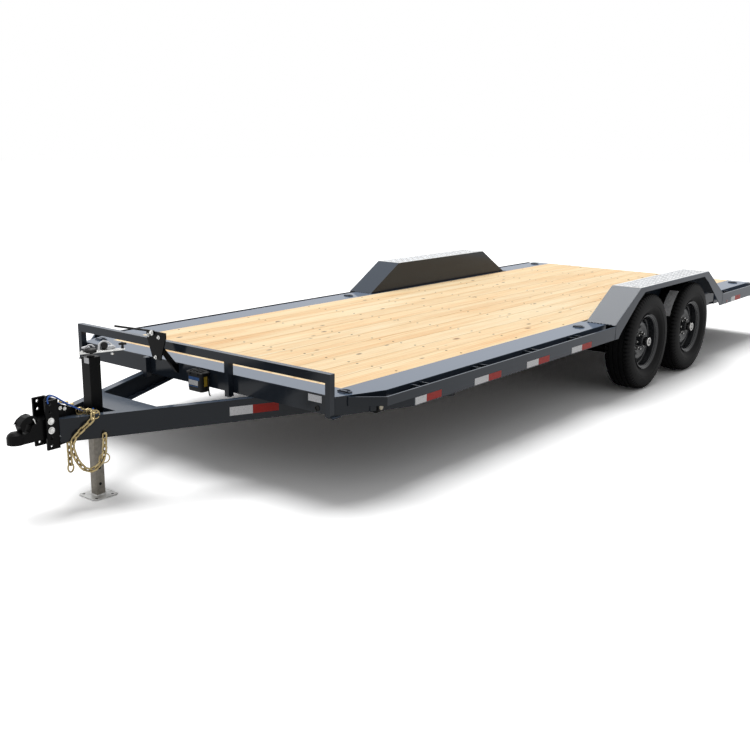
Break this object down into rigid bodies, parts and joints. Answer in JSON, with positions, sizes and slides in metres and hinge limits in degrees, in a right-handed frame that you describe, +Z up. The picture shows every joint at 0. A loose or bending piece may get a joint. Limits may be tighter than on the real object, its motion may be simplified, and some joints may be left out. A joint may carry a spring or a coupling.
{
  "type": "car transporter trailer",
  "caption": "Low open-deck car hauling trailer with a plank deck, drive-over fenders, a dovetail, tandem axles, an A-frame tongue with ball coupler and a drop-leg jack.",
  "frame": {"origin": "on the ground, under the middle of the whole trailer's box", "axes": "+Z up, +Y from the tongue towards the tail, +X to the trailer's left side as it is towed"},
  "size_m": [2.591, 7.946, 0.846],
  "materials": {
    "black_paint": "satin",
    "black_plastic": "moulded",
    "galvanised_steel": "galvanised",
    "pine_plank": "sawn pressure-treated pine",
    "red_lens": "moulded lens",
    "slate_grey_paint": "gloss powder coat",
    "tyre_rubber": "matte",
    "yellow_zinc": "yellow zinc plating"
  },
  "bodies": {
    "trailer": {"axle_front": "black_paint", "axle_rear": "black_paint", "battery_box": "black_plastic", "coupler": "black_paint", "coupler_bracket": "black_paint", "cross_member_1": "slate_grey_paint", "cross_member_2": "slate_grey_paint", "cross_member_3": "slate_grey_paint", "cross_member_4": "slate_grey_paint", "cross_member_5": "slate_grey_paint", "cross_member_6": "slate_grey_paint", "cross_member_7": "slate_grey_paint", "cross_member_8": "slate_grey_paint", "cross_member_tail": "slate_grey_paint", "deck_plate_front": "slate_grey_paint", "deck_plate_rear_left": "slate_grey_paint", "deck_plate_rear_right": "slate_grey_paint", "dovetail_deck": "pine_plank", "fender_left": "slate_grey_paint", "fender_right": "slate_grey_paint", "front_channel": "slate_grey_paint", "headboard": "slate_grey_paint", "jack_crank": "galvanised_steel", "jack_tube": "black_paint", "main_rail_left": "slate_grey_paint", "main_rail_right": "slate_grey_paint", "rear_channel": "slate_grey_paint", "safety_chain_left": "yellow_zinc", "safety_chain_right": "yellow_zinc", "side_rail_front_left": "slate_grey_paint", "side_rail_front_right": "slate_grey_paint", "side_rail_rear_left": "slate_grey_paint", "side_rail_rear_right": "slate_grey_paint", "spare_wheel_carrier": "black_paint", "spring_set_left": "black_paint", "spring_set_right": "black_paint", "tail_lamp_left": "red_lens", "tail_lamp_right": "red_lens", "tongue_beam_left": "slate_grey_paint", "tongue_beam_right": "slate_grey_paint", "tongue_cross_channel": "slate_grey_paint", "wood_deck": "pine_plank"},
    "wheel_unit_front_left": {"tyre_front_left": "tyre_rubber", "wheel_front_left": "black_paint"},
    "wheel_unit_front_right": {"tyre_front_right": "tyre_rubber", "wheel_front_right": "black_paint"},
    "wheel_unit_rear_left": {"tyre_rear_left": "tyre_rubber", "wheel_rear_left": "black_paint"},
    "wheel_unit_rear_right": {"tyre_rear_right": "tyre_rubber", "wheel_rear_right": "black_paint"},
    "jack_leg_unit": {"jack_leg": "galvanised_steel"},
    "ramp_unit_left": {"ramp_left": "slate_grey_paint"},
    "ramp_unit_right": {"ramp_right": "slate_grey_paint"}
  },
  "joints": [
    {"name": "wheel_front_left_spin", "type": "hinge", "parent": "trailer", "child": "wheel_unit_front_left", "pos_m": [1.1758, 0.8675, 0.386], "axis": [1, 0, 0], "continuous": true},
    {"name": "wheel_front_right_spin", "type": "hinge", "parent": "trailer", "child": "wheel_unit_front_right", "pos_m": [-1.1758, 0.8675, 0.386], "axis": [1, 0, 0], "continuous": true},
    {"name": "wheel_rear_left_spin", "type": "hinge", "parent": "trailer", "child": "wheel_unit_rear_left", "pos_m": [1.1758, 1.7565, 0.386], "axis": [1, 0, 0], "continuous": true},
    {"name": "wheel_rear_right_spin", "type": "hinge", "parent": "trailer", "child": "wheel_unit_rear_right", "pos_m": [-1.1758, 1.7565, 0.386], "axis": [1, 0, 0], "continuous": true},
    {"name": "jack_leg_slide", "type": "slide", "parent": "trailer", "child": "jack_leg_unit", "axis": [0, 0, 1], "range_m": [-0.05, 0.28]},
    {"name": "ramp_left_slide", "type": "slide", "parent": "trailer", "child": "ramp_unit_left", "axis": [0, 1, 0], "range_m": [0, 1.3]},
    {"name": "ramp_right_slide", "type": "slide", "parent": "trailer", "child": "ramp_unit_right", "axis": [0, 1, 0], "range_m": [0, 1.3]}
  ]
}
